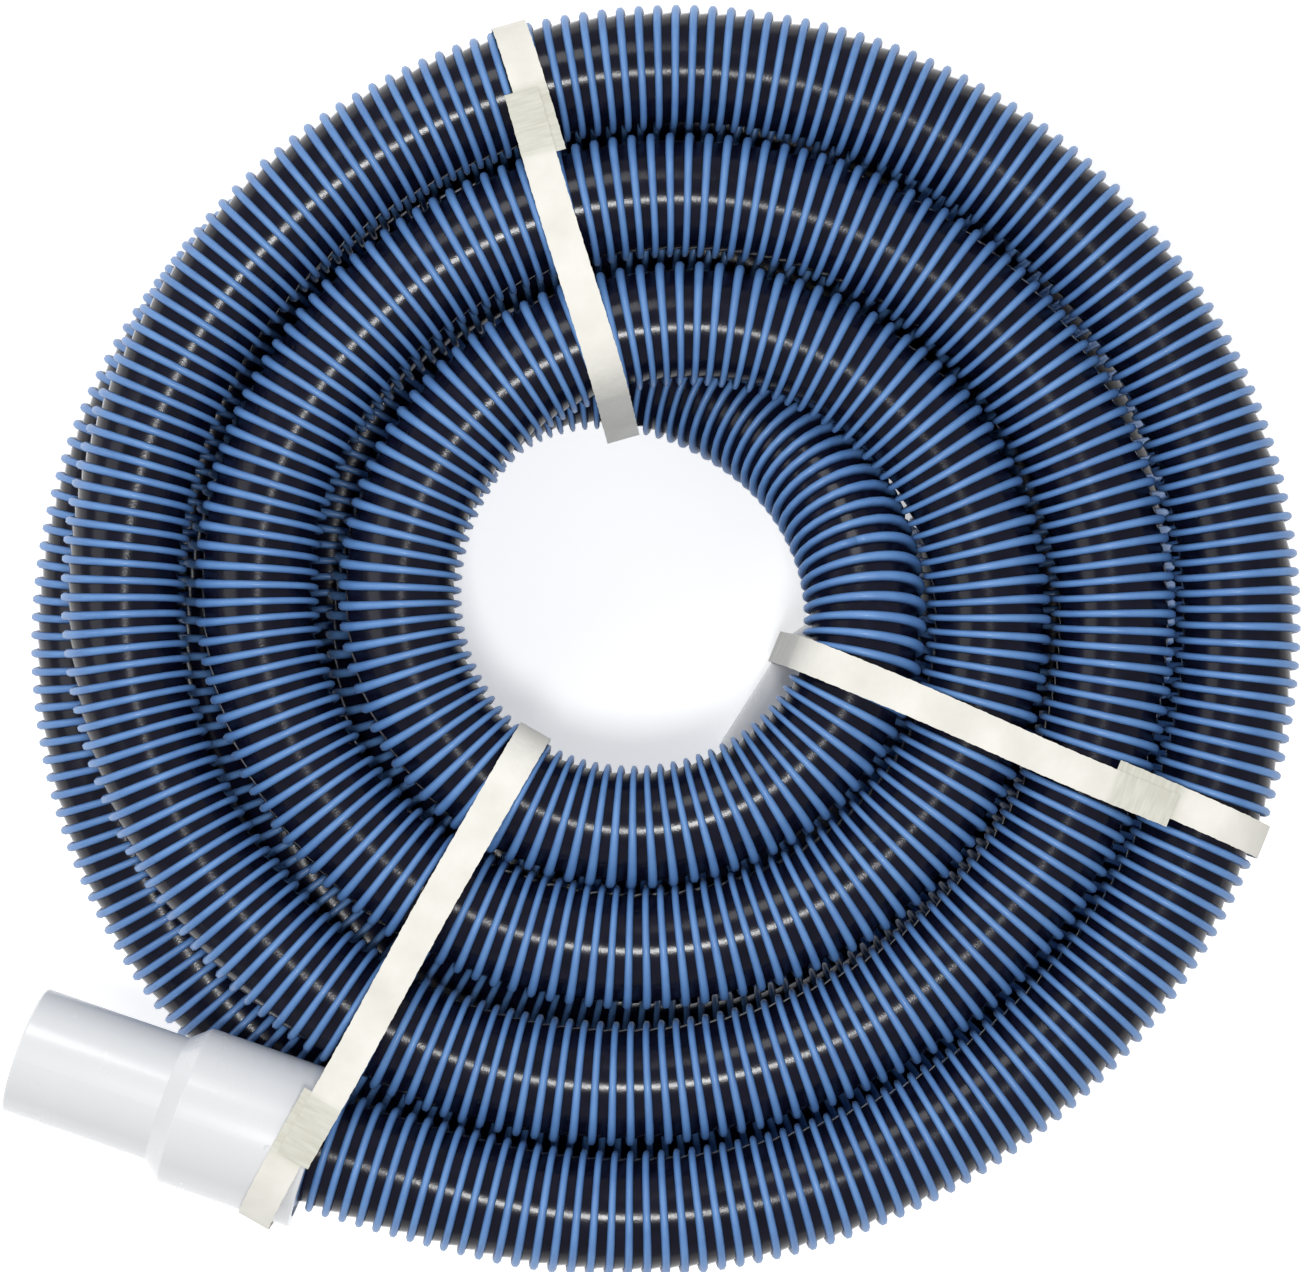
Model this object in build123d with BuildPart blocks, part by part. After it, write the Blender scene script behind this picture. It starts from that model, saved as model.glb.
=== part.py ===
from build123d import *
from math import cos, sin, tan, radians, exp, acos, hypot, pi
import os

# Pool vacuum hose, stored as a tied coil of three layers.  One hose about 7.9 m long, seen from
# above as a clockwise walk: bottom layer outward from the fixed cuff, middle layer inward, top
# layer outward to the swivel cuff.  Millimetres, +Z up, straps flat on the floor at Z = 0.
# The route is written once, as a function of the walk angle, and every stretch takes its piece.

os.makedirs("parts", exist_ok=True)

HOSE_R = 22.7          # over the ribs
HOSE_BORE_R = 19.0     # 38 mm bore
STRAP_W = 12.0
STRAP_T = 0.4
STRAP_GAP = 0.3
LAYER_PITCH = 45.8
Z_BOTTOM = STRAP_T + STRAP_GAP + HOSE_R
STEP = 20              # walk angle between control points, degrees
LAST = 2920            # walk angle of the last control point on the coil
OUTWARD = 1.0 / cos(radians(STEP / 2))
COIL = (0.2, 14.5)     # plan centre of the coil

BORE_R = 19.2          # both cuffs, slides on a 38 mm spigot
PASSAGE_R = 18.7       # behind the bore, so a spigot stops on the step
BORE_LEN = 52.0
SOCKET_DEPTH = 44.0    # how far the hose runs into a cuff
BIG_LEN = 50.0
TAPER_LEN = 7.0
CUFF_LEN = 112.0
SMALL_R = 23.4
FIXED_R = 26.3
SWIVEL_R = 29.3
FIXED_REAR = (48.4, -54.3, Z_BOTTOM + FIXED_R - HOSE_R)
FIXED_DIR = (0.536, 0.844)
SWIVEL_REAR = (-123.6, -185.5, 122.6)
SWIVEL_DIR = (-0.945, 0.327)


def smooth(x):
    """Zero below 0, one above 1, and three squares less two cubes between them."""
    x = min(max(x, 0.0), 1.0)
    return x * x * (3 - 2 * x)


def polar(centre, r, turn):
    """Plan point at radius r and compass angle 305 degrees less the walk angle."""
    angle = radians(305 - turn)
    return centre[0] + r * cos(angle), centre[1] + r * sin(angle)


def bottom_plan(a):
    """Bottom layer: radius grows steadily outward, with a quicker start past the fixed cuff."""
    return polar(COIL, 84 + 55 * a / 360 + 28 * (1 - exp(-a / 60)), a)


def middle_plan(a):
    """Middle layer: radius falls steadily, and the centre drifts onto the coil axis."""
    k = min(max(1 - (a - 735) / 845, 0.0), 1.05)
    return polar((COIL[0] - 8 * k, COIL[1] - 8 * k), 100 + 124 * k, a)


def top_plan(a):
    """Top layer: a spiral slightly oval across the page, never tighter than 74.6 mm."""
    w = (2945 - a) / 360
    angle = 2 * radians(305 - a)
    r = 229.2 - 46.9 * w + 3.65 * cos(angle) + 1.2 * sin(angle)
    return polar((COIL[0] - 2.5 + 1.07 * w, COIL[1] - 1.7), max(r, 74.6), a)


def route(a):
    """Centreline at walk angle a: the three plans blended, height raised a layer at each riser."""
    if a < 1500:
        p, q, s = bottom_plan(a), middle_plan(a), smooth((a - 655) / 85)
    else:
        p, q, s = middle_plan(a), top_plan(a), smooth((a - 1610) / 90)
    z = Z_BOTTOM + LAYER_PITCH * (smooth((a - 665) / 95) + smooth((a - 1650) / 110))
    z = z + (FIXED_REAR[2] - Z_BOTTOM) * (1 - smooth(a / 60))
    z = z + (SWIVEL_REAR[2] - Z_BOTTOM - 2 * LAYER_PITCH) * smooth((a - 2850) / 70)
    return p[0] * (1 - s) + q[0] * s, p[1] * (1 - s) + q[1] * s, z


def control(a):
    """Corner of the polyline at walk angle a, pushed outward so the arcs lie on the route."""
    x, y, z = route(a)
    return COIL[0] + (x - COIL[0]) * OUTWARD, COIL[1] + (y - COIL[1]) * OUTWARD, z


def along(start, direction, distance):
    """Point at a distance along a level direction."""
    size = hypot(*direction)
    return (start[0] + distance * direction[0] / size,
            start[1] + distance * direction[1] / size, start[2])


def middle_of(p, q):
    return tuple((p[i] + q[i]) / 2 for i in range(3))


def gap(p, q):
    return sum((p[i] - q[i]) ** 2 for i in range(3)) ** 0.5


def half_turn(p, q, r):
    """Half the angle the path turns through at q."""
    u = [q[i] - p[i] for i in range(3)]
    v = [r[i] - q[i] for i in range(3)]
    dot = sum(u[i] * v[i] for i in range(3)) / (gap(p, q) * gap(q, r))
    return acos(max(-1.0, min(1.0, dot))) / 2


# Corners of the whole hose: end inside the fixed cuff, coil, end inside the swivel cuff.
corners = [along(FIXED_REAR, FIXED_DIR, SOCKET_DEPTH), along(FIXED_REAR, FIXED_DIR, -14)]
corners += [control(a) for a in range(STEP, LAST + 1, STEP)]
corners += [along(SWIVEL_REAR, SWIVEL_DIR, -20), along(SWIVEL_REAR, SWIVEL_DIR, SOCKET_DEPTH)]
bends = [0.0]
for i in range(1, len(corners) - 1):
    run = min(gap(corners[i - 1], corners[i]), gap(corners[i], corners[i + 1]))
    bends.append(0.45 * run / tan(half_turn(*corners[i - 1:i + 2])))
print("arc radii, smallest and largest:", round(min(bends[1:]), 1), round(max(bends), 1))
print("arc radii:", [round(b) for b in bends[1:]])

# A stretch runs between the midpoints of two straight runs, so neighbours meet face to face.
STRETCHES = {
    "hose_bottom_layer": (0, 33),
    "hose_outer_riser": (33, 38),
    "hose_middle_layer": (38, 82),
    "hose_inner_riser": (82, 89),
    "hose_top_layer": (89, len(corners) - 1),
}
hose_length = 0.0
for name, (first, last) in STRETCHES.items():
    inner = corners[first + 1:last + 1] if last < len(corners) - 1 else corners[first + 1:last]
    begin = corners[0] if first == 0 else middle_of(corners[first], corners[first + 1])
    end = corners[-1] if last == len(corners) - 1 else middle_of(corners[last], corners[last + 1])
    radii = bends[first + 1:first + 1 + len(inner)]
    with BuildPart() as stretch:
        with BuildLine() as path:
            FilletPolyline(begin, *inner, end, radius=radii)
        with BuildSketch(Plane(origin=path.line @ 0, z_dir=path.line % 0)):
            Circle(HOSE_R)
            Circle(HOSE_BORE_R, mode=Mode.SUBTRACT)
        sweep(path=path.line)
    stretch.part.label = name
    length = sum(edge.length for edge in path.line.edges())
    wanted = pi * (HOSE_R ** 2 - HOSE_BORE_R ** 2) * length
    hose_length += length
    print(name, "length", round(length, 1), "volume", round(stretch.part.volume),
          "section times length", round(wanted), "corners", len(inner))
    export_step(stretch.part, f"parts/{name}.step")
print("hose length", round(hose_length, 1))


def cuff_plane(rear, direction):
    """Profile plane of a cuff: local X along the cuff from its rear face, local Y outward."""
    return Plane(origin=rear, x_dir=(direction[0], direction[1], 0),
                 z_dir=(direction[1], -direction[0], 0))


def cuff_axis(rear, direction):
    return Axis(origin=rear, direction=(direction[0], direction[1], 0))


# Fixed cuff: the hose screws into a socket in its wide end, and stops on the shoulder.
fixed_plane = cuff_plane(FIXED_REAR, FIXED_DIR)
fixed_axis = cuff_axis(FIXED_REAR, FIXED_DIR)
with BuildPart() as fixed_cuff:
    with BuildSketch(fixed_plane):
        with BuildLine():
            Polyline(
                (0, HOSE_R + 0.3),
                (0, FIXED_R),
                (BIG_LEN, FIXED_R),
                (BIG_LEN + TAPER_LEN, SMALL_R),
                (CUFF_LEN, SMALL_R),
                (CUFF_LEN, BORE_R),
                (CUFF_LEN - BORE_LEN, BORE_R),
                (CUFF_LEN - BORE_LEN, PASSAGE_R),
                (SOCKET_DEPTH, PASSAGE_R),
                (SOCKET_DEPTH, HOSE_R + 0.3),
                close=True,
            )
        make_face()
    revolve(axis=fixed_axis)
    rims = fixed_cuff.edges().filter_by(GeomType.CIRCLE)
    fillet([e for e in rims if e.radius > FIXED_R - 0.05], radius=1.0)
    mouth = along(FIXED_REAR, FIXED_DIR, CUFF_LEN)
    rims = fixed_cuff.edges().filter_by(GeomType.CIRCLE)
    fillet([e for e in rims if gap(tuple(e.arc_center), mouth) < 0.01], radius=0.9)
fixed_cuff.part.label = "fixed_cuff"
export_step(fixed_cuff.part, "parts/fixed_cuff.step")

# Swivel cuff: the barrel turns round a ferrule screwed on the hose; a split ring in a groove
# keeps the ferrule in, and a washer seals its front face against the barrel's shoulder.
CHAMBER_R = 25.5
COLLAR_R = 25.2
GROOVE_R = 27.3
RING_FROM = 2.0
RING_TO = 5.0
COLLAR_FROM = 5.3
COLLAR_TO = 46.6
WASHER_TO = 50.0
SHOULDER = 50.0
swivel_plane = cuff_plane(SWIVEL_REAR, SWIVEL_DIR)
swivel_axis = cuff_axis(SWIVEL_REAR, SWIVEL_DIR)

with BuildPart() as swivel_cuff:
    with BuildSketch(swivel_plane):
        with BuildLine():
            Polyline(
                (0, CHAMBER_R),
                (0, SWIVEL_R),
                (BIG_LEN, SWIVEL_R),
                (BIG_LEN + TAPER_LEN, SMALL_R),
                (CUFF_LEN, SMALL_R),
                (CUFF_LEN, BORE_R),
                (CUFF_LEN - BORE_LEN, BORE_R),
                (CUFF_LEN - BORE_LEN, PASSAGE_R),
                (SHOULDER, PASSAGE_R),
                (SHOULDER, CHAMBER_R),
                (RING_TO, CHAMBER_R),
                (RING_TO, GROOVE_R),
                (RING_FROM, GROOVE_R),
                (RING_FROM, CHAMBER_R),
                close=True,
            )
        make_face()
    revolve(axis=swivel_axis)
    rims = swivel_cuff.edges().filter_by(GeomType.CIRCLE)
    fillet([e for e in rims if e.radius > SWIVEL_R - 0.05], radius=1.0)
    mouth = along(SWIVEL_REAR, SWIVEL_DIR, CUFF_LEN)
    rims = swivel_cuff.edges().filter_by(GeomType.CIRCLE)
    fillet([e for e in rims if gap(tuple(e.arc_center), mouth) < 0.01], radius=0.9)
    # the moulding gate's shallow round mark, on top of the wide section
    gate = along(SWIVEL_REAR, SWIVEL_DIR, 15)
    with BuildSketch(Plane(origin=(gate[0], gate[1], gate[2] + SWIVEL_R))):
        Circle(1.3)
    extrude(amount=-0.35, mode=Mode.SUBTRACT)
swivel_cuff.part.label = "swivel_cuff"
export_step(swivel_cuff.part, "parts/swivel_cuff.step")

with BuildPart() as swivel_collar:
    with BuildSketch(swivel_plane):
        with BuildLine():
            Polyline(
                (COLLAR_FROM, HOSE_R + 0.3),
                (COLLAR_FROM, COLLAR_R),
                (COLLAR_TO, COLLAR_R),
                (COLLAR_TO, BORE_R + 0.8),
                (SOCKET_DEPTH, BORE_R + 0.8),
                (SOCKET_DEPTH, HOSE_R + 0.3),
                close=True,
            )
        make_face()
    revolve(axis=swivel_axis)
swivel_collar.part.label = "swivel_collar"
export_step(swivel_collar.part, "parts/swivel_collar.step")

with BuildPart() as swivel_retaining_ring:
    with BuildSketch(swivel_plane):
        with BuildLine():
            Polyline(
                (RING_FROM + 0.1, 23.5),
                (RING_FROM + 0.1, GROOVE_R - 0.1),
                (RING_TO - 0.1, GROOVE_R - 0.1),
                (RING_TO - 0.1, 23.5),
                close=True,
            )
        make_face()
    revolve(axis=swivel_axis, revolution_arc=346)
swivel_retaining_ring.part.label = "swivel_retaining_ring"
export_step(swivel_retaining_ring.part, "parts/swivel_retaining_ring.step")

with BuildPart() as swivel_seal_washer:
    with BuildSketch(swivel_plane):
        with BuildLine():
            Polyline(
                (COLLAR_TO + 0.3, BORE_R + 0.6),
                (COLLAR_TO + 0.3, COLLAR_R),
                (WASHER_TO, COLLAR_R),
                (WASHER_TO, BORE_R + 0.6),
                close=True,
            )
        make_face()
    revolve(axis=swivel_axis)
swivel_seal_washer.part.label = "swivel_seal_washer"
export_step(swivel_seal_washer.part, "parts/swivel_seal_washer.step")


# Tie straps: a paper strip drawn tight round everything it crosses, its ends lapped and glued
# on top.  Each is the hull of the sections cut by its upright plane, thickened outward.
def crossings(outer, inner):
    """Circles (distance along the strap line, height, radius) covering each section crossed."""
    length = hypot(inner[0] - outer[0], inner[1] - outer[1])
    ux, uy = (inner[0] - outer[0]) / length, (inner[1] - outer[1]) / length
    tubes = [(route(a / 2), route(a / 2 + 0.5), HOSE_R) for a in range(24, 2 * LAST + 4)]
    for i in range(56):
        for rear, direction, wide in ((FIXED_REAR, FIXED_DIR, FIXED_R),
                                      (SWIVEL_REAR, SWIVEL_DIR, SWIVEL_R)):
            radius = wide if 2 * i < BIG_LEN + 2 else SMALL_R
            tubes.append((along(rear, direction, 2 * i), along(rear, direction, 2 * i + 2),
                          radius))
    found = []
    for p, q, radius in tubes:
        for side in (-STRAP_W / 2, 0, STRAP_W / 2):
            ahead = -(p[0] - outer[0]) * uy + (p[1] - outer[1]) * ux - side
            behind = -(q[0] - outer[0]) * uy + (q[1] - outer[1]) * ux - side
            s = (p[0] - outer[0]) * ux + (p[1] - outer[1]) * uy
            if ahead * behind <= 0 and ahead != behind and -20 < s < length + 20:
                run = hypot(q[0] - p[0], q[1] - p[1])
                wide = radius * (run / abs(ahead - behind) - 1) + 0.7
                tall = radius * (gap(p, q) / run - 1)
                found.append((s - wide, p[2], radius + STRAP_GAP))
                found.append((s + wide, p[2], radius + STRAP_GAP))
                found.append((s, p[2] + tall, radius + STRAP_GAP))
    return found


def outermost(circles):
    """The circles that a tight band round all of them touches over three degrees or more."""
    reach = {}
    for step in range(360):
        u, v = cos(radians(step)), sin(radians(step))
        far = max(circles, key=lambda c: round(c[0] * u + c[1] * v + c[2], 4))
        reach[far] = reach.get(far, 0) + 1
    kept = []
    for c in sorted(reach, key=lambda c: -reach[c]):
        if reach[c] >= 3 and all(hypot(c[0] - k[0], c[1] - k[1]) > 3.0 for k in kept):
            kept.append(c)
    return kept


STRAPS = {
    "tie_strap_top": ((-53.1, 224.2), (-11.6, 78.1), 25.0, 4.0),
    "tie_strap_right": ((224.0, -73.8), (50.3, -2.8), 38.0, -4.0),
    "tie_strap_left": ((-141.1, -203.4), (-47.3, -39.6), 22.0, 3.0),
}
for name, (outer, inner, lap_from, lap_shift) in STRAPS.items():
    upright = Plane(origin=(outer[0], outer[1], 0),
                    x_dir=(inner[0] - outer[0], inner[1] - outer[1], 0),
                    z_dir=(inner[1] - outer[1], outer[0] - inner[0], 0))
    circles = outermost(crossings(outer, inner))
    print(name, "sections", [(round(s), round(z), round(r, 1)) for s, z, r in circles])
    with BuildSketch() as inside:
        for s, z, radius in circles:
            with Locations((s, z)):
                Circle(radius)
        make_hull()
    outline = inside.sketch.faces()[0]
    with BuildPart() as strap:
        with BuildSketch(upright):
            add(outline)
            offset(amount=STRAP_T, kind=Kind.ARC)
            add(outline, mode=Mode.SUBTRACT)
        extrude(amount=STRAP_W / 2, both=True)
        with BuildSketch(upright.offset(lap_shift - STRAP_W / 2)):
            add(outline)
            offset(amount=2 * STRAP_T, kind=Kind.ARC)
            with Locations((lap_from + 12.5, 120)):
                Rectangle(25, 120, mode=Mode.INTERSECT)
            with BuildSketch(mode=Mode.SUBTRACT):
                add(outline)
                offset(amount=STRAP_T, kind=Kind.ARC)
        extrude(amount=STRAP_W)
    strap.part.label = name
    flat = outline.outer_wire().length
    print(name, "flat length", round(flat + 25), "box", strap.part.bounding_box().size)
    export_step(strap.part, f"parts/{name}.step")
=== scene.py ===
import bpy
import math
import numpy as np
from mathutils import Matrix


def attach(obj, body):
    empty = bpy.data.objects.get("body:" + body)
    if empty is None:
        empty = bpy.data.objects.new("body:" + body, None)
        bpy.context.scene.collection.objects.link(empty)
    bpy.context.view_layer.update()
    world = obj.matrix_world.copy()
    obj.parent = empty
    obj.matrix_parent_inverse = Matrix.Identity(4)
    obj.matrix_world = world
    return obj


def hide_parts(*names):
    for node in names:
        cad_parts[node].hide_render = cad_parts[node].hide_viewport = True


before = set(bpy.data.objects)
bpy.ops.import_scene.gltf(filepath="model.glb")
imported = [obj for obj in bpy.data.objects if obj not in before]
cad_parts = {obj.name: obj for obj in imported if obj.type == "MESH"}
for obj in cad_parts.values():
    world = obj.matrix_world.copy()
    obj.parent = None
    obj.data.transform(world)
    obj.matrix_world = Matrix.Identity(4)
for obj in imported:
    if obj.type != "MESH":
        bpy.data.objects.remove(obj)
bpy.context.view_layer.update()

# ---------------------------------------------------------------------------------------------
# The hose's lie.  One hose about 8 m long is wound flat in three layers: out along the floor from
# the fixed cuff, back in on the middle layer, and out again on top to the swivel cuff.  The route
# is a walk angle turned into a point, and it is the line that wall and ribs follow.
HOSE_R = 0.0227
LAYER = 0.0458
FLOOR_LAYER = 0.0234
COIL = np.array([0.0002, 0.0145])
FIXED_REAR = np.array([0.0484, -0.0543, 0.0270])
FIXED_DIR = np.array([0.536, 0.844, 0.0])
FIXED_DIR /= np.linalg.norm(FIXED_DIR)
SWIVEL_REAR = np.array([-0.1236, -0.1855, 0.1226])
SWIVEL_DIR = np.array([-0.945, 0.327, 0.0])
SWIVEL_DIR /= np.linalg.norm(SWIVEL_DIR)
IN_CUFF = 0.044
LOW_R = 0.084
LOW_STEP = 0.055
LOW_WIDEN = 0.028
MIDDLE_R = 0.100
MIDDLE_SPAN = 0.124
TOP_R = 0.2292
TOP_STEP = 0.0469
TOP_LEAST_R = 0.0746
WALK_STEP = 20.0
WALK_END = 2921.0
# Walk angles at which a change begins, and how many degrees it takes.
TO_MIDDLE = (655, 85)
TO_TOP = (1610, 90)
CLIMB_TO_MIDDLE = (665, 95)
CLIMB_TO_TOP = (1650, 110)
RISE_TO_SWIVEL = (2850, 70)
MIDDLE_WINDS = (735, 845)


def ease(x):
    """Zero below 0, one above 1; between them three squares less two cubes."""
    x = np.clip(x, 0.0, 1.0)
    return x * x * (3 - 2 * x)


def passed(a, change):
    """How far a change has gone at walk angle a: the angle past its start, over its length."""
    start, taken = change
    return (a - start) / taken


def bell(a, middle, width):
    """One at the middle, falling off to both sides: e to the minus square of the offset in widths."""
    return np.exp(-((a - middle) / width) ** 2)


def lie(a):
    """Points of the hose's route at walk angles a, in degrees, turning clockwise from 305.
    Bottom: radius 84 mm growing 55 a turn, plus 28 that comes in over the first sixth of a turn.
    Middle: radius from 224 falling evenly to 100, less bells of 10 and 9 where it lies under the
    gaps of the turns above.  Top: a slightly oval spiral of 46.9 a turn, drawn in by bells of 6
    and 4.5 on the left of its two inner turns and let out by one of 3.2 at its inner end.
    Neighbouring plans are mixed over each riser, where the height gains one layer."""
    turn = np.radians(305 - a)
    out = np.stack([np.cos(turn), np.sin(turn)], 1)
    low_r = LOW_R + LOW_STEP * a / 360 + LOW_WIDEN * (1 - np.exp(-a / 60))
    low = COIL + out * low_r[:, None]
    k = np.clip(1 - passed(a, MIDDLE_WINDS), 0.0, 1.05)
    middle_r = MIDDLE_R + MIDDLE_SPAN * k - 0.010 * bell(a, 745, 45) - 0.009 * bell(a, 1400, 30)
    middle = COIL - 0.008 * k[:, None] + out * middle_r[:, None]
    w = (2945 - a) / 360
    top_r = TOP_R - TOP_STEP * w + 0.00365 * np.cos(2 * turn) + 0.0012 * np.sin(2 * turn)
    top_r -= 0.006 * bell(a, 1925, 60) + 0.0045 * bell(a, 2225, 50)
    top_r = np.maximum(top_r, TOP_LEAST_R) + 0.0032 * bell(a, 1692, 34)
    centre = COIL + np.stack([0.00107 * w - 0.0025, 0 * w - 0.0017], 1)
    top = centre + out * top_r[:, None]
    to_middle, to_top = ease(passed(a, TO_MIDDLE))[:, None], ease(passed(a, TO_TOP))[:, None]
    plan = np.where(a[:, None] < TO_TOP[0], low * (1 - to_middle) + middle * to_middle,
                    middle * (1 - to_top) + top * to_top)
    z = FLOOR_LAYER + LAYER * (ease(passed(a, CLIMB_TO_MIDDLE)) + ease(passed(a, CLIMB_TO_TOP)))
    z = z + (FIXED_REAR[2] - FLOOR_LAYER) * (1 - ease(a / 60))
    z = z + (SWIVEL_REAR[2] - FLOOR_LAYER - 2 * LAYER) * ease(passed(a, RISE_TO_SWIVEL))
    return np.column_stack([plan, z])


walk = lie(np.arange(WALK_STEP, WALK_END, WALK_STEP))
walk[:, :2] = COIL + (walk[:, :2] - COIL) / math.cos(math.radians(WALK_STEP / 2))
route = np.vstack([
    FIXED_REAR + IN_CUFF * FIXED_DIR,
    FIXED_REAR + 0.013 * FIXED_DIR,
    FIXED_REAR - 0.014 * FIXED_DIR,
    walk,
    SWIVEL_REAR - 0.020 * SWIVEL_DIR,
    SWIVEL_REAR + IN_CUFF * SWIVEL_DIR,
])
line_data = bpy.data.curves.new("hose_line", "CURVE")
line_data.dimensions = "3D"
line_data.resolution_u = 14
spline = line_data.splines.new("NURBS")
spline.points.add(len(route) - 1)
spline.points.foreach_set("co", np.column_stack([route, np.ones(len(route))]).ravel())
spline.order_u = 3
spline.use_endpoint_u = True
line_object = bpy.data.objects.new("hose_line", line_data)
bpy.context.scene.collection.objects.link(line_object)
read = bpy.data.meshes.new_from_object(line_object)
line = np.empty(len(read.vertices) * 3)
read.vertices.foreach_get("co", line)
line = line.reshape(-1, 3)
bpy.data.objects.remove(line_object)
line = line[np.r_[True, np.linalg.norm(np.diff(line, axis=0), axis=1) > 1e-6]]
reach = np.r_[0, np.cumsum(np.linalg.norm(np.diff(line, axis=0), axis=1))]
LENGTH = reach[-1]


def carried(distance, angle, radius):
    """Points at a distance along the hose, at an angle round it from straight up towards the
    coil's outside, and at a radius: the line's point plus radius times the turned up direction."""
    middle = np.stack([np.interp(distance, reach, line[:, i]) for i in range(3)], -1)
    ahead = np.gradient(line, reach, axis=0)
    ahead = np.stack([np.interp(distance, reach, ahead[:, i]) for i in range(3)], -1)
    ahead = ahead / np.linalg.norm(ahead, axis=-1, keepdims=True)
    left = np.stack([-ahead[..., 1], ahead[..., 0], 0 * ahead[..., 0]], -1)
    left = left / np.linalg.norm(left, axis=-1, keepdims=True)
    up = np.cross(ahead, left)
    return (middle + (radius * np.cos(angle))[..., None] * up
            + (radius * np.sin(angle))[..., None] * left)


# ---------------------------------------------------------------------------------------------
# Hose wall.  A thin near-black web wound in a spiral and welded edge to edge: it swells a little
# between one rib and the next, and is drawn in under each rib.  Extruded plastic, wet-looking.
PITCH = 0.00625
WEB_R = 0.0196
BORE_R = 0.0190
AROUND = 22
turns = int(LENGTH / PITCH) - 1
wander = np.random.default_rng(7)
slip = np.convolve(wander.normal(0, 1, turns + 40), np.hanning(9), "same")[10:turns + 20]
slip = 0.00016 * slip / slip.std()


def rib_line(turn_number):
    """Distance along the hose of the rib at a turn number: even pitches, each a little off, less
    a sine of the angle, because the coiled hose drags its ribs over to one side."""
    start = (LENGTH - turns * PITCH) / 2
    return (start + turn_number * PITCH + np.interp(turn_number, np.arange(len(slip)), slip)
            - 0.00095 * np.sin(2 * math.pi * turn_number))


def new_piece(name, points, faces, material):
    """A smooth mesh object from an array of points and lists of faces, at the origin."""
    mesh = bpy.data.meshes.new(name)
    mesh.from_pydata(points.reshape(-1, 3).tolist(), [], faces)
    mesh.polygons.foreach_set("use_smooth", np.ones(len(mesh.polygons), bool))
    mesh.materials.append(material)
    mesh.update()
    piece = bpy.data.objects.new(name, mesh)
    bpy.context.scene.collection.objects.link(piece)
    return piece


def finish_of(name, colour, roughness, coat=0.0):
    """A plastic finish: one shader with its steady values on its own sockets."""
    material = bpy.data.materials.new(name)
    material.use_nodes = True
    shader = material.node_tree.nodes["Principled BSDF"]
    shader.inputs["Base Color"].default_value = (*colour, 1)
    shader.inputs["Roughness"].default_value = roughness
    shader.inputs["Coat Weight"].default_value = coat
    shader.inputs["Coat Roughness"].default_value = 0.12
    return material, material.node_tree, shader


def mottle(tree, shader, scale, dark, light, low, high, bump):
    """Noise on object coordinates: it moves the colour between dark and light, the roughness
    between low and high, and raises a fine bump."""
    where = tree.nodes.new("ShaderNodeTexCoord")
    noise = tree.nodes.new("ShaderNodeTexNoise")
    noise.inputs["Scale"].default_value = scale
    noise.inputs["Detail"].default_value = 5
    tree.links.new(where.outputs["Object"], noise.inputs["Vector"])
    ramp = tree.nodes.new("ShaderNodeValToRGB")
    ramp.color_ramp.elements[0].position = 0.3
    ramp.color_ramp.elements[1].position = 0.7
    ramp.color_ramp.elements[0].color = (*dark, 1)
    ramp.color_ramp.elements[1].color = (*light, 1)
    tree.links.new(noise.outputs["Fac"], ramp.inputs["Fac"])
    tree.links.new(ramp.outputs["Color"], shader.inputs["Base Color"])
    span = tree.nodes.new("ShaderNodeMapRange")
    span.inputs["To Min"].default_value = low
    span.inputs["To Max"].default_value = high
    tree.links.new(noise.outputs["Fac"], span.inputs["Value"])
    tree.links.new(span.outputs["Result"], shader.inputs["Roughness"])
    fine = tree.nodes.new("ShaderNodeTexNoise")
    fine.inputs["Scale"].default_value = scale * 9
    tree.links.new(where.outputs["Object"], fine.inputs["Vector"])
    lift = tree.nodes.new("ShaderNodeBump")
    lift.inputs["Strength"].default_value = bump
    lift.inputs["Distance"].default_value = 0.0003
    tree.links.new(fine.outputs["Fac"], lift.inputs["Height"])
    tree.links.new(lift.outputs["Normal"], shader.inputs["Normal"])
    return ramp


web_finish, tree, shader = finish_of("web_black", (0.0035, 0.004, 0.012), 0.18)
shader.inputs["IOR"].default_value = 1.38
shader.inputs["Specular IOR Level"].default_value = 0.3
mottle(tree, shader, 140, (0.002, 0.003, 0.010), (0.007, 0.007, 0.020), 0.13, 0.24, 0.08)


def wound_sheet(rows_a_turn, radius_of_row):
    """A sheet wound on the rib's own spiral: row r lies r over rows-a-turn pitches along, plus
    the part turn made round the hose.  After its last column a row goes on as the row one turn
    further.  It gives the points and the rows that faces start from."""
    rows = rows_a_turn * turns
    row = np.arange(rows + rows_a_turn + 1)
    grid_row, grid_column = np.meshgrid(row, np.arange(AROUND), indexing="ij")
    turn_number = grid_row / rows_a_turn + grid_column / AROUND
    distance = np.clip(rib_line(turn_number), 0.0, LENGTH)
    radius = np.broadcast_to(radius_of_row(grid_row), grid_row.shape)
    return carried(distance, 2 * math.pi * grid_column / AROUND, radius), row[:-1 - rows_a_turn]


outer, outer_rows = wound_sheet(2, lambda r: np.where(r % 2 == 0, WEB_R - 0.0002, WEB_R + 0.0006))
inner, inner_rows = wound_sheet(1, lambda r: np.full(r.shape, BORE_R))


def wound_faces(rows, rows_a_turn, base, outward):
    """Quads between each row and the next; past the last column the row steps on one turn."""
    r, c = np.meshgrid(rows, np.arange(AROUND), indexing="ij")
    across = np.where(c == AROUND - 1, (r + rows_a_turn) * AROUND, r * AROUND + c + 1)
    quads = np.stack([r * AROUND + c, (r + 1) * AROUND + c, across + AROUND, across], -1)
    quads = quads.reshape(-1, 4) + base
    return quads if outward else quads[:, ::-1]


outer_count = outer.shape[0] * AROUND
quads = np.vstack([wound_faces(outer_rows, 2, 0, True),
                   wound_faces(inner_rows, 1, outer_count, False)])
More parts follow.
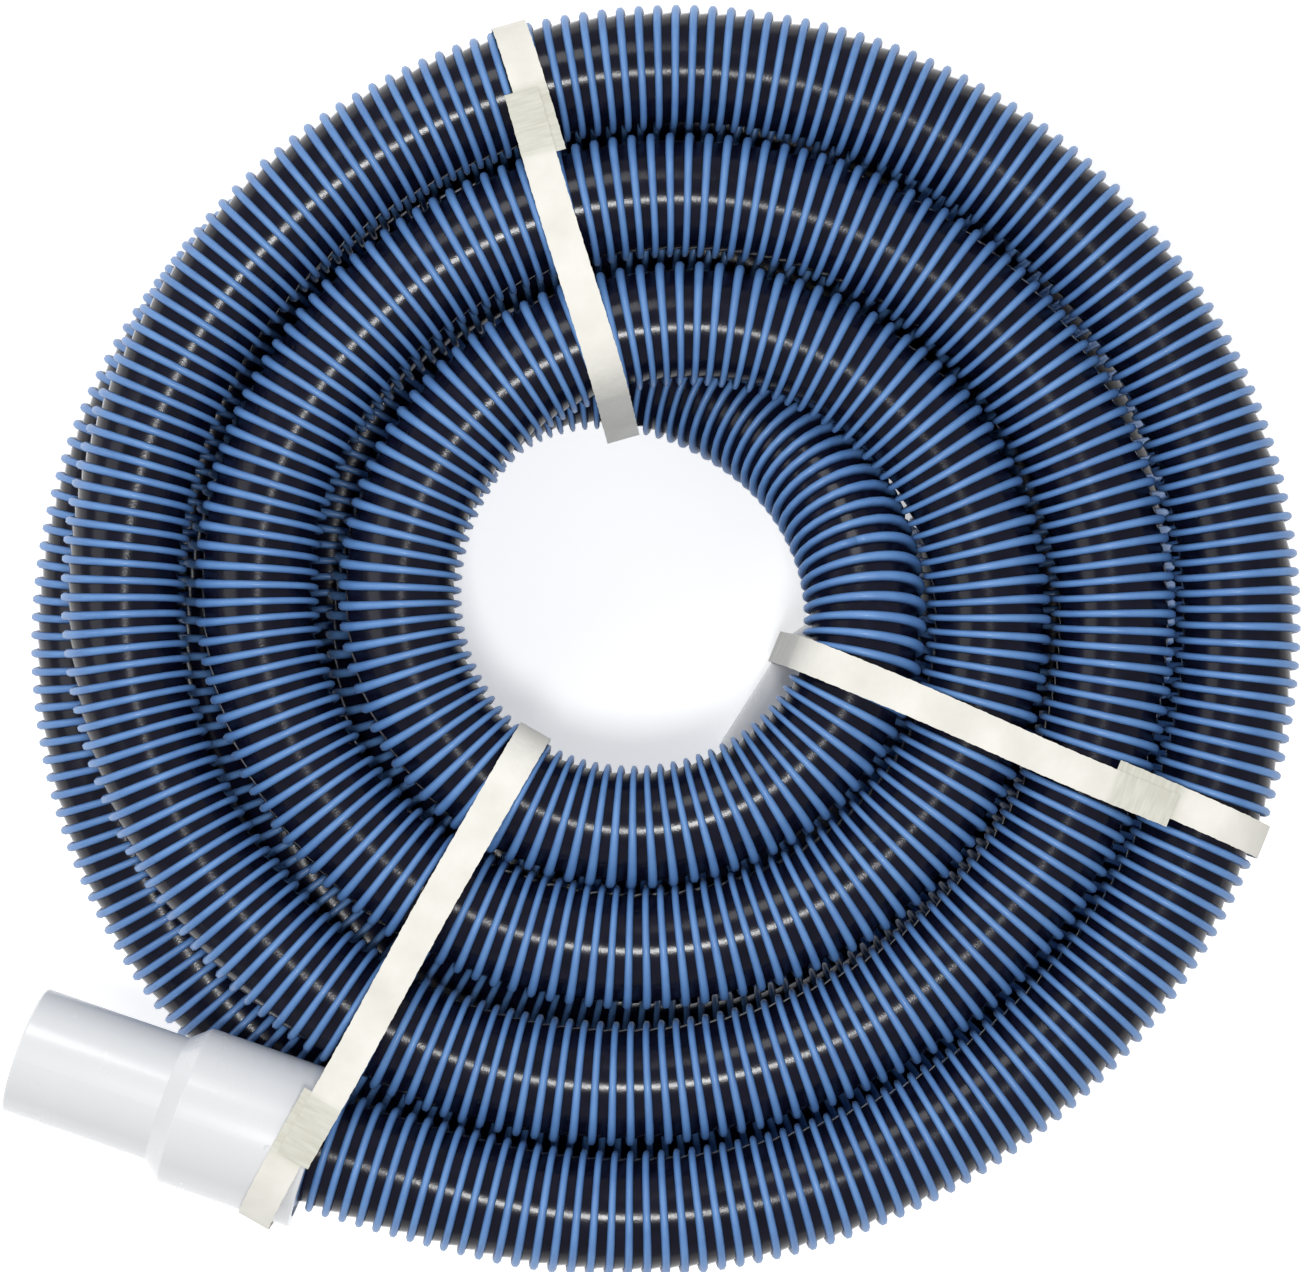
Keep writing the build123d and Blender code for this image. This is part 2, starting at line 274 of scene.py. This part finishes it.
# Each end is closed by a ring of faces from outside to inside, and one face on the rib's step.
end_faces = []
for first_outer, first_inner, order in ((0, outer_count, 1),
                                        (2 * turns * AROUND, outer_count + turns * AROUND, -1)):
    for c in range(AROUND):
        over, over_next = c, c + 1 if c < AROUND - 1 else 2 * AROUND
        under, under_next = c, c + 1 if c < AROUND - 1 else AROUND
        end_faces.append([first_outer + over, first_outer + over_next,
                          first_inner + under_next, first_inner + under][::order])
    step = [first_outer, first_outer + AROUND, first_outer + 2 * AROUND, first_inner + AROUND,
            first_inner]
    end_faces.append(step[::-order])
points = np.vstack([outer.reshape(-1, 3), inner.reshape(-1, 3)])
used = np.zeros(len(points), bool)
used[quads] = True
used[np.concatenate(end_faces)] = True
renumber = np.cumsum(used) - 1
wall_faces = renumber[quads].tolist() + [renumber[face].tolist() for face in end_faces]
hose_wall = new_piece("hose_wall", points[used], wall_faces, web_finish)
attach(hose_wall, "hose")
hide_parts("hose_bottom_layer", "hose_outer_riser", "hose_middle_layer",
            "hose_inner_riser", "hose_top_layer")

# ---------------------------------------------------------------------------------------------
# Rib.  A stiff blue bead run on over the web's seam in one unbroken spiral, standing about
# 3 mm proud with a rounded top.  It is cut into four lengths here only to keep each piece light.
RIB_W = 0.0027
SHOULDER = 0.0010
COARSE = 24
FINE = 44
rib_finish, tree, shader = finish_of("rib_blue", (0.100, 0.232, 0.50), 0.42, 0.08)
ramp = mottle(tree, shader, 90, (0.084, 0.200, 0.45), (0.118, 0.264, 0.55), 0.36, 0.52, 0.12)
# Painted shade: the rib's colour is mixed towards dark navy down its sides to its foot on the web, by
# a point value that is 1 on top and 0 at the foot.
painted_foot_shade = tree.nodes.new("ShaderNodeAttribute")
painted_foot_shade.attribute_name = "rib_shade_by_height"
shade = tree.nodes.new("ShaderNodeMix")
shade.data_type = "RGBA"
shade.inputs["A"].default_value = (0.012, 0.030, 0.11, 1)
tree.links.new(painted_foot_shade.outputs["Fac"], shade.inputs["Factor"])
tree.links.new(ramp.outputs["Color"], shade.inputs["B"])
tree.links.new(shade.outputs["Result"], shader.inputs["Base Color"])

profile_side = RIB_W * np.array([-0.56, -0.50, -0.24, 0.24, 0.50, 0.56])
profile_height = np.array([WEB_R - 0.0004, HOSE_R - SHOULDER, HOSE_R, HOSE_R,
                           HOSE_R - SHOULDER, WEB_R - 0.0004])
# Painted shade: 1 on the rib's top, 0.75 at the shoulders, 0 at the foot, where the colour is
# darkest.
profile_shade_by_height = np.array([0.0, 0.75, 1.0, 1.0, 0.75, 0.0])


def rib_length(name, first, last, segments):
    """The bead's six-cornered section carried round the spiral from one turn to another, with
    so many segments to a turn and its width swelling by 4% and back; each point carries the
    painted shade that darkens the rib towards its foot."""
    turn_number = np.linspace(first, last, int((last - first) * segments) + 1)[:, None]
    swell = 1 + 0.04 * np.sin(turn_number * 0.71) * np.sin(turn_number * 0.093)
    distance = rib_line(turn_number) + profile_side[None, :] * swell
    height = np.broadcast_to(profile_height, distance.shape)
    angle = np.broadcast_to(2 * math.pi * turn_number, distance.shape)
    points = carried(np.clip(distance, 0, LENGTH), angle, height)
    n, m = points.shape[:2]
    r, c = np.meshgrid(np.arange(n - 1), np.arange(m), indexing="ij")
    d = (c + 1) % m
    quads = np.stack([r * m + c, r * m + d, (r + 1) * m + d, (r + 1) * m + c], -1)
    faces = quads.reshape(-1, 4).tolist()
    faces += [list(range(m))[::-1], [(n - 1) * m + i for i in range(m)]]
    rib = new_piece(name, points, faces, rib_finish)
    tone = rib.data.attributes.new("rib_shade_by_height", "FLOAT", "POINT")
    tone.data.foreach_set("value", np.tile(profile_shade_by_height, n).astype(np.float32))
    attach(rib, "hose")
    return rib


top_from = int(0.60 * turns)
ribs = [
    rib_length("rib_low", 1.0, 0.30 * turns, COARSE),
    rib_length("rib_middle", 0.30 * turns, top_from, COARSE),
    rib_length("rib_top_inner", top_from, 0.80 * turns, FINE),
    rib_length("rib_top_outer", 0.80 * turns, turns - 1.0, FINE),
]

# ---------------------------------------------------------------------------------------------
# Cuffs.  Each end has a white moulded cuff of two diameters that pushes on to a 38 mm spigot.
# The outer one turns on a collar screwed to the hose; the inner one is screwed straight on.
# They are injection moulded and glossy, with the faintest grain.
CUFF_LENGTH = 0.112
WIDE_LENGTH = 0.051
MOUTH_R = 0.0234
FIXED_R = 0.0263
SWIVEL_R = 0.0293
cuff_finish, tree, shader = finish_of("cuff_white", (0.665, 0.675, 0.69), 0.26, 0.25)
mottle(tree, shader, 45, (0.660, 0.671, 0.688), (0.670, 0.679, 0.692), 0.23, 0.30, 0.03)
collar_finish, tree, shader = finish_of("collar_white", (0.54, 0.55, 0.57), 0.5)
mottle(tree, shader, 60, (0.52, 0.53, 0.55), (0.56, 0.57, 0.58), 0.42, 0.6, 0.08)
washer_finish, tree, shader = finish_of("washer_black", (0.02, 0.02, 0.02), 0.75)
mottle(tree, shader, 80, (0.012, 0.012, 0.013), (0.03, 0.03, 0.03), 0.65, 0.85, 0.15)
for node, finish in (("fixed_cuff", cuff_finish), ("swivel_cuff", cuff_finish),
                     ("swivel_collar", collar_finish), ("swivel_retaining_ring", collar_finish),
                     ("swivel_seal_washer", washer_finish)):
    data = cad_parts[node].data
    data.materials.clear()
    data.materials.append(finish)

# ---------------------------------------------------------------------------------------------
# Tie straps.  Three strips of ivory paper-like band, 12.5 mm wide, are pulled tight round the
# bundle.  The ends lap on top by 25 mm, a little askew, and are glued; the glue roughens them.
STRAP_W = 0.0125
STRAP_T = 0.0004
STRAP_EDGE = 0.006
LAP = 0.025
strap_finish, tree, shader = finish_of("strap_paper", (0.72, 0.70, 0.64), 0.85)
ramp = mottle(tree, shader, 55, (0.66, 0.645, 0.585), (0.77, 0.755, 0.70), 0.78, 0.95, 0.5)
laid = tree.nodes.new("ShaderNodeUVMap")
laid.uv_map = "strip"
stretch = tree.nodes.new("ShaderNodeMapping")
stretch.inputs["Scale"].default_value = (900, 90, 1)
tree.links.new(laid.outputs["UV"], stretch.inputs["Vector"])
fibre = tree.nodes.new("ShaderNodeTexNoise")
fibre.inputs["Scale"].default_value = 1.0
fibre.inputs["Detail"].default_value = 6
tree.links.new(stretch.outputs["Vector"], fibre.inputs["Vector"])
glued = tree.nodes.new("ShaderNodeAttribute")
glued.attribute_name = "glue"
patch = tree.nodes.new("ShaderNodeMath")
patch.operation = "MULTIPLY"
tree.links.new(glued.outputs["Fac"], patch.inputs[0])
tree.links.new(fibre.outputs["Fac"], patch.inputs[1])
soiled = tree.nodes.new("ShaderNodeMix")
soiled.data_type = "RGBA"
soiled.inputs["B"].default_value = (0.42, 0.42, 0.34, 1)
tree.links.new(patch.outputs[0], soiled.inputs["Factor"])
tree.links.new(ramp.outputs["Color"], soiled.inputs["A"])
tree.links.new(soiled.outputs["Result"], shader.inputs["Base Color"])


def sections_under(outer, inner):
    """Circles cut from hose and cuffs by the strap's upright plane and by planes at its edges:
    distance along the strap's line, height and radius, with the strap's slack added."""
    along = (inner - outer) / np.linalg.norm(inner - outer)
    square = np.array([-along[1], along[0]])
    runs = [(line, np.full(len(line), HOSE_R))]
    for rear, direction, wide in ((FIXED_REAR, FIXED_DIR, FIXED_R),
                                  (SWIVEL_REAR, SWIVEL_DIR, SWIVEL_R)):
        u = np.arange(0.0, CUFF_LENGTH, 0.002)
        runs.append((rear + u[:, None] * direction, np.where(u < WIDE_LENGTH, wide, MOUTH_R)))
    found = []
    for points, radius in runs:
        for edge in (-STRAP_EDGE, 0.0, STRAP_EDGE):
            ahead = (points[:, :2] - outer) @ square - edge
            s = (points[:, :2] - outer) @ along
            hit = np.nonzero((ahead[:-1] * ahead[1:] <= 0) & (s[:-1] > -0.02)
                             & (s[:-1] < np.linalg.norm(inner - outer) + 0.02))[0]
            for i in hit:
                step = points[i + 1] - points[i]
                skew = np.linalg.norm(step[:2]) / abs(step[:2] @ square)
                wide = radius[i] * (skew - 1) + 0.0006
                found += [(s[i] - wide, points[i, 2], radius[i] + 0.0003),
                          (s[i] + wide, points[i, 2], radius[i] + 0.0003)]
    return np.array(found), along, square


def tight_band(circles):
    """The closed line that a tight band takes round circles: in each direction it touches the
    circle that reaches furthest, and it runs straight from one such circle to the next."""
    angle = np.radians(np.arange(0, 360, 2.0))
    facing = np.stack([np.cos(angle), np.sin(angle)], 1)
    far = np.argmax(facing @ circles[:, :2].T + circles[:, 2], axis=1)
    return circles[far, :2] + facing * circles[far, 2:]


def strap(name, outer, inner, lap_from, askew):
    """A strip carried round the band: its line starts at the lap, goes once round, and ends
    25 mm past its start, one thickness further out and shifted sideways by twice the skew."""
    outer, inner = np.array(outer), np.array(inner)
    circles, along, square = sections_under(outer, inner)
    loop = tight_band(circles)
    loop = np.vstack([loop, loop[:1]])
    gone = np.r_[0, np.cumsum(np.linalg.norm(np.diff(loop, axis=0), axis=1))]
    even = np.arange(0, gone[-1], 0.0005)
    loop = np.stack([np.interp(even, gone, loop[:, i]) for i in range(2)], 1)
    start = np.argmin(np.abs(loop[:, 0] - lap_from - LAP) + 9 * (loop[:, 1] < loop[:, 1].mean()))
    loop = np.roll(loop, -start, axis=0)
    loop = np.vstack([loop, loop[:1]])
    gone = np.r_[0, np.cumsum(np.linalg.norm(np.diff(loop, axis=0), axis=1))]
    at_start = gone[-1]
    t = np.arange(0, at_start + LAP, 0.0012)
    flat = np.stack([np.interp(t % at_start, gone, loop[:, i]) for i in range(2)], 1)
    ahead = np.gradient(flat, axis=0)
    ahead /= np.linalg.norm(ahead, axis=1)[:, None]
    outward = np.stack([ahead[:, 1], -ahead[:, 0]], 1)
    on_top = ease((t - at_start + 0.012) / 0.010)
    drift = askew * (1 - ease(t / 0.09)) - askew * ease((t - at_start + 0.09) / 0.09)
    lift = STRAP_T * 1.1 * on_top
    v = np.linspace(-0.5, 0.5, 7)
    half = len(v)
    ring_v = np.r_[v, v[::-1]]
    ring_up = np.r_[np.full(half, STRAP_T), np.zeros(half)]
    ragged = 1 + 0.012 * np.sin(t * 900) + 0.01 * np.sin(t * 2300 + 2)
    height = lift[:, None] + ring_up[None, :]
    side = drift[:, None] + STRAP_W * ring_v[None, :] * ragged[:, None]
    s = flat[:, None, 0] + outward[:, None, 0] * height
    z = flat[:, None, 1] + outward[:, None, 1] * height
    plan = outer + s[..., None] * along + side[..., None] * square
    points = np.concatenate([plan, z[..., None]], -1)
    n, m = points.shape[:2]
    r, c = np.meshgrid(np.arange(n - 1), np.arange(m), indexing="ij")
    d = (c + 1) % m
    quads = np.stack([r * m + c, r * m + d, (r + 1) * m + d, (r + 1) * m + c], -1)
    faces = quads.reshape(-1, 4).tolist()
    faces += [list(range(m))[::-1], [(n - 1) * m + i for i in range(m)]]
    piece = new_piece(name + "_strip", points, faces, strap_finish)
    uv = piece.data.uv_layers.new(name="strip")
    corner = np.empty(len(piece.data.loops), np.int32)
    piece.data.loops.foreach_get("vertex_index", corner)
    laid_out = np.stack([np.repeat(t, m), np.tile(ring_v * STRAP_W, n)], 1)
    uv.data.foreach_set("uv", laid_out[corner].astype(np.float32).ravel())
    glue = piece.data.attributes.new("glue", "FLOAT", "POINT")
    near = np.maximum(1 - ease((t - 0.022) / 0.006), ease((t - at_start + 0.001) / 0.004))
    glue.data.foreach_set("value", np.repeat(near, m).astype(np.float32))
    piece.data.set_sharp_from_angle(angle=math.radians(50))
    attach(piece, "hose")
    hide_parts(name)
    return piece


strap("tie_strap_top", (-0.0531, 0.2242), (-0.0116, 0.0781), 0.025, 0.0018)
strap("tie_strap_right", (0.2240, -0.0738), (0.0503, -0.0028), 0.038, -0.0018)
strap("tie_strap_left", (-0.1411, -0.2034), (-0.0473, -0.0396), 0.022, 0.0015)

# ---------------------------------------------------------------------------------------------
# Studio.  The coil lies on a seamless white sheet, lit by a white surround, two softboxes and a
# small overhead lamp, and is looked at from straight above.
floor_mesh = bpy.data.meshes.new("floor")
floor_mesh.from_pydata([(-3, -3, 0), (3, -3, 0), (3, 3, 0), (-3, 3, 0)], [], [(0, 1, 2, 3)])
floor = bpy.data.objects.new("floor", floor_mesh)
bpy.context.scene.collection.objects.link(floor)
floor_finish, tree, shader = finish_of("floor_white", (0.93, 0.93, 0.93), 0.9)
shader.inputs["Emission Color"].default_value = (1, 1, 1, 1)
shader.inputs["Emission Strength"].default_value = 0.45
floor_mesh.materials.append(floor_finish)

world = bpy.data.worlds.new("studio")
world.use_nodes = True
world.node_tree.nodes["Background"].inputs["Color"].default_value = (1, 1, 1, 1)
world.node_tree.nodes["Background"].inputs["Strength"].default_value = 0.55
bpy.context.scene.world = world
for name, place, size, power in (("lamp_overhead", (0.02, -0.18, 1.35), 0.16, 7),
                                 ("softbox_back", (-0.2, 1.0, 1.2), 0.5, 5),
                                 ("softbox_left", (-1.5, 0.3, 1.2), 0.9, 6)):
    lamp = bpy.data.lights.new(name, "AREA")
    lamp.size = size
    lamp.energy = power
    lamp_object = bpy.data.objects.new(name, lamp)
    lamp_object.location = place
    aim = np.array(place)
    lamp_object.rotation_euler = (math.atan2(math.hypot(aim[0], aim[1]), aim[2]), 0,
                                  math.atan2(aim[0], -aim[1]))
    bpy.context.scene.collection.objects.link(lamp_object)

bpy.context.scene.view_settings.view_transform = "Standard"
SENSOR = 36
SEEN_FROM = 1.2
SEEN_WIDTH = 0.481
lens = bpy.data.cameras.new("camera")
lens.sensor_width = SENSOR
lens.lens = SENSOR * SEEN_FROM / SEEN_WIDTH
camera = bpy.data.objects.new("camera", lens)
camera.location = (0.0, 0.0023, 1.315)
bpy.context.scene.collection.objects.link(camera)
bpy.context.scene.camera = camera
